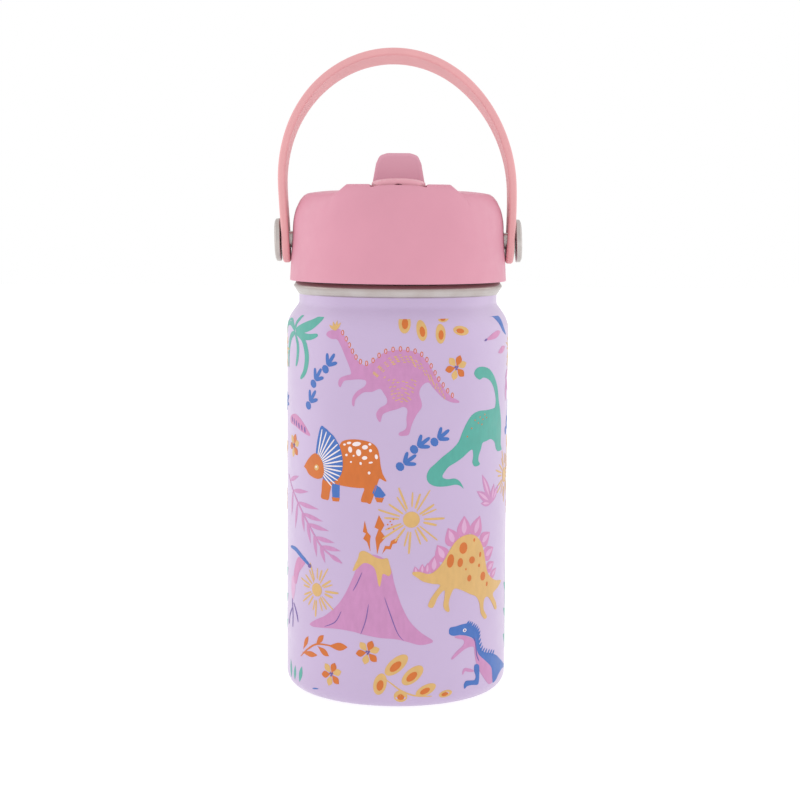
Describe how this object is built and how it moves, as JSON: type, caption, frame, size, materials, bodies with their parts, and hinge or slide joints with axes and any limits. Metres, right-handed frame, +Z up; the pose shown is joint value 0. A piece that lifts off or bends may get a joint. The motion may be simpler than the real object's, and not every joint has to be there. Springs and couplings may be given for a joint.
{
  "type": "water bottle",
  "caption": "Insulated steel drinking bottle for a child, with a screw lid, a flip spout over a straw and a swinging carry handle.",
  "frame": {"origin": "middle of the base, on the surface that the bottle stands on", "axes": "+Z up along the bottle's axis, -Y the front, where the folded spout points, and X along the pins of the handle"},
  "size_m": [0.081, 0.073, 0.2112],
  "materials": {
    "lilac_paint": "fine satin powder coat",
    "bare_steel": "turned and lightly brushed",
    "liner_steel": "electropolished satin",
    "pin_steel": "polished disc with a soft edge",
    "pink_plastic": "soft satin moulding",
    "strap_pink": "soft matte elastomer",
    "mouth_silicone": "smooth silicone",
    "white_plastic": "smooth moulding",
    "clear_straw": "frosted clear plastic",
    "silicone": "matte silicone",
    "foam": "closed-cell foam"
  },
  "bodies": {
    "bottle": {"outer_shell": "lilac_paint", "base_plate": "lilac_paint", "vacuum_seal": "bare_steel", "getter": "bare_steel", "inner_liner": "liner_steel", "rim_ring": "bare_steel"},
    "straw": {"straw": "clear_straw"},
    "gasket": {"lid_gasket": "silicone"},
    "lid": {"lid_shell": "pink_plastic", "lid_plug": "white_plastic", "insulation_ring": "foam", "straw_socket": "silicone", "vent_valve": "silicone", "spout_seal": "silicone", "handle_pin_left": "pin_steel", "handle_pin_right": "pin_steel", "pin_washer_left": "pin_steel", "pin_washer_right": "pin_steel", "spout_pin_left": "pin_steel", "spout_pin_right": "pin_steel"},
    "spout": {"spout": "pink_plastic", "mouthpiece": "mouth_silicone"},
    "handle": {"handle": "strap_pink"}
  },
  "joints": [
    {"name": "lid_lift", "type": "slide", "parent": "bottle", "child": "straw", "axis": [0, 0, 1], "range_m": [0, 0.15]},
    {"name": "lid_rise", "type": "slide", "parent": "straw", "child": "gasket", "axis": [0, 0, 1], "range_m": [0, 0.0063]},
    {"name": "lid_unscrew", "type": "hinge", "parent": "gasket", "child": "lid", "pos_m": [0, 0, 0.1354], "axis": [0, 0, 1], "range_deg": [0, 450]},
    {"name": "spout_flip", "type": "hinge", "parent": "lid", "child": "spout", "pos_m": [0, 0, 0.1644], "axis": [-1, 0, 0], "range_deg": [0, 90]},
    {"name": "handle_swing", "type": "hinge", "parent": "lid", "child": "handle", "pos_m": [0, 0, 0.1485], "axis": [1, 0, 0], "range_deg": [-125, 135]}
  ],
  "couplings": [
    {"joint": "lid_rise", "follows": "lid_unscrew", "m_per_rad": 0.00079577}
  ]
}
